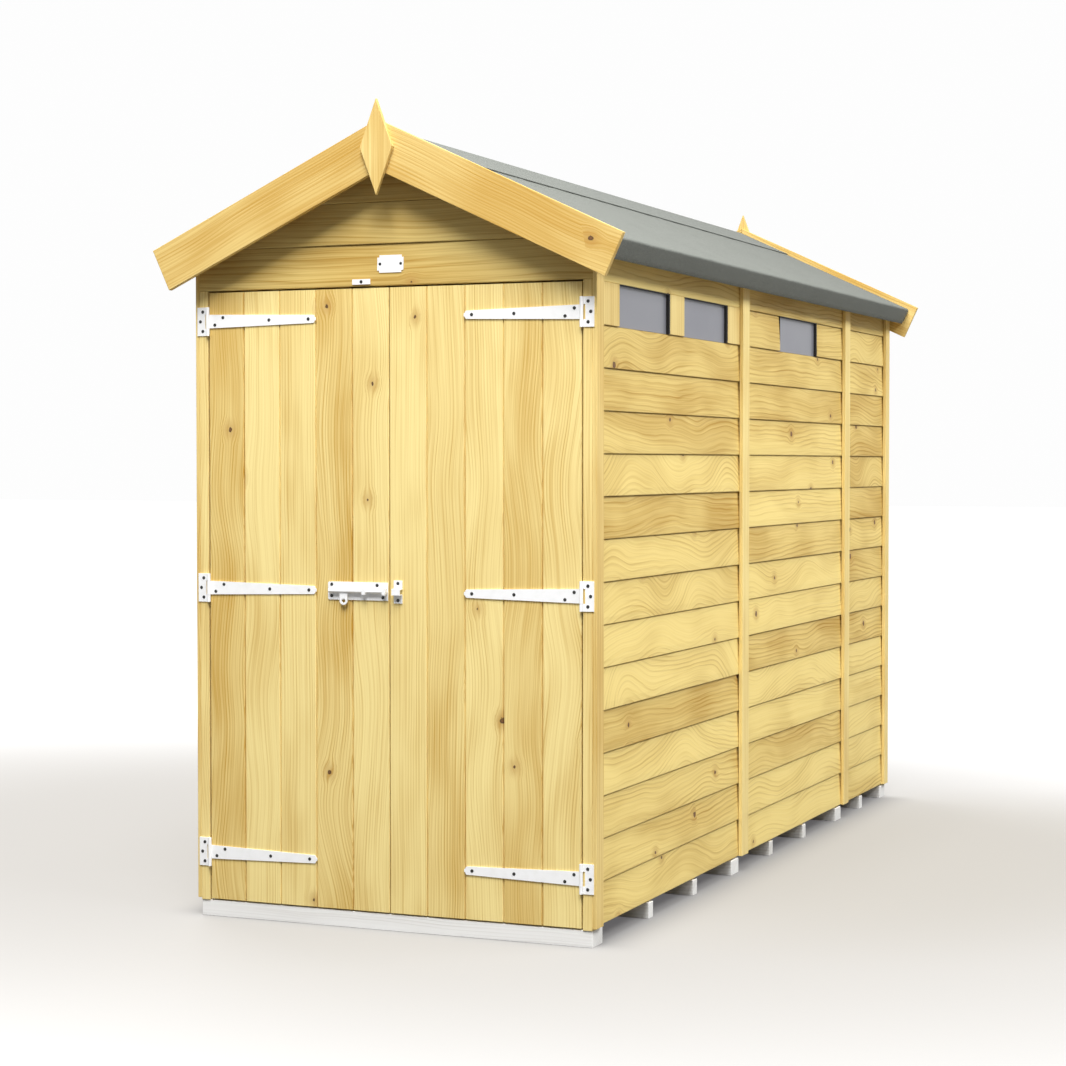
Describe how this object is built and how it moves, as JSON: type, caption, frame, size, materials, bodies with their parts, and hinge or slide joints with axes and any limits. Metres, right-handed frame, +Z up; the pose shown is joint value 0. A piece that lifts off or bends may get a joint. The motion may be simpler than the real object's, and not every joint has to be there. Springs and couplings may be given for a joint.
{
  "type": "garden shed",
  "caption": "Long narrow apex shed of lapped softwood boards with double doors in the front gable, high windows and a felted roof.",
  "frame": {"origin": "on the ground, in the middle of the outline", "axes": "+X to the right seen from the door end, +Y from the doors to the back, +Z up"},
  "size_m": [1.3952, 3.2, 2.2357],
  "materials": {
    "boards": "treated softwood, matt",
    "door_timber": "treated softwood, matt",
    "trim_timber": "treated softwood, matt",
    "frame_timber": "sawn softwood, matt",
    "bearers": "sawn, weathered pale grey",
    "felt": "mineral felt, matt",
    "panes": "thin glazing, slightly milky",
    "white_metal": "satin white"
  },
  "bodies": {
    "shed": {"floor_bearers": "bearers", "floor_deck": "frame_timber", "right_boards_front": "boards", "right_boards_middle": "boards", "right_boards_back": "boards", "left_boards_front": "boards", "left_boards_middle": "boards", "left_boards_back": "boards", "right_studs": "frame_timber", "right_rails": "frame_timber", "left_studs": "frame_timber", "left_rails": "frame_timber", "right_strips": "trim_timber", "left_strips": "trim_timber", "window_posts": "trim_timber", "window_panes": "panes", "back_boards": "boards", "back_studs": "frame_timber", "back_rails": "frame_timber", "door_posts": "trim_timber", "front_gable": "boards", "door_header": "frame_timber", "right_roof_boards": "frame_timber", "left_roof_boards": "frame_timber", "right_felt": "felt", "left_felt": "felt", "ridge_felt": "felt", "eave_battens": "frame_timber", "purlins": "frame_timber", "front_bargeboards": "trim_timber", "back_bargeboards": "trim_timber", "front_finial": "trim_timber", "back_finial": "trim_timber", "right_hinge_plates": "white_metal", "left_hinge_plates": "white_metal"},
    "right_door": {"right_door_boards": "door_timber", "right_door_ledges": "frame_timber", "right_door_braces": "frame_timber", "right_hinge_straps": "white_metal", "bolt_keeper": "white_metal"},
    "left_door": {"left_door_boards": "door_timber", "left_door_ledges": "frame_timber", "left_door_braces": "frame_timber", "left_hinge_straps": "white_metal", "bolt_plate": "white_metal"},
    "bolt": {"bolt_rod": "white_metal"},
    "button": {"turn_button": "white_metal"}
  },
  "joints": [
    {"name": "right_door_swing", "type": "hinge", "parent": "shed", "child": "right_door", "pos_m": [0.5585, -1.52725, 0.921], "axis": [0, 0, 1], "range_deg": [0, 165]},
    {"name": "left_door_swing", "type": "hinge", "parent": "shed", "child": "left_door", "pos_m": [-0.5585, -1.52725, 0.921], "axis": [0, 0, -1], "range_deg": [0, 165]},
    {"name": "bolt_slide", "type": "slide", "parent": "left_door", "child": "bolt", "axis": [1, 0, 0], "range_m": [0, 0.04]},
    {"name": "button_turn", "type": "hinge", "parent": "shed", "child": "button", "pos_m": [-0.081, -1.52725, 1.757], "axis": [0, 1, 0], "range_deg": [0, 90]}
  ]
}
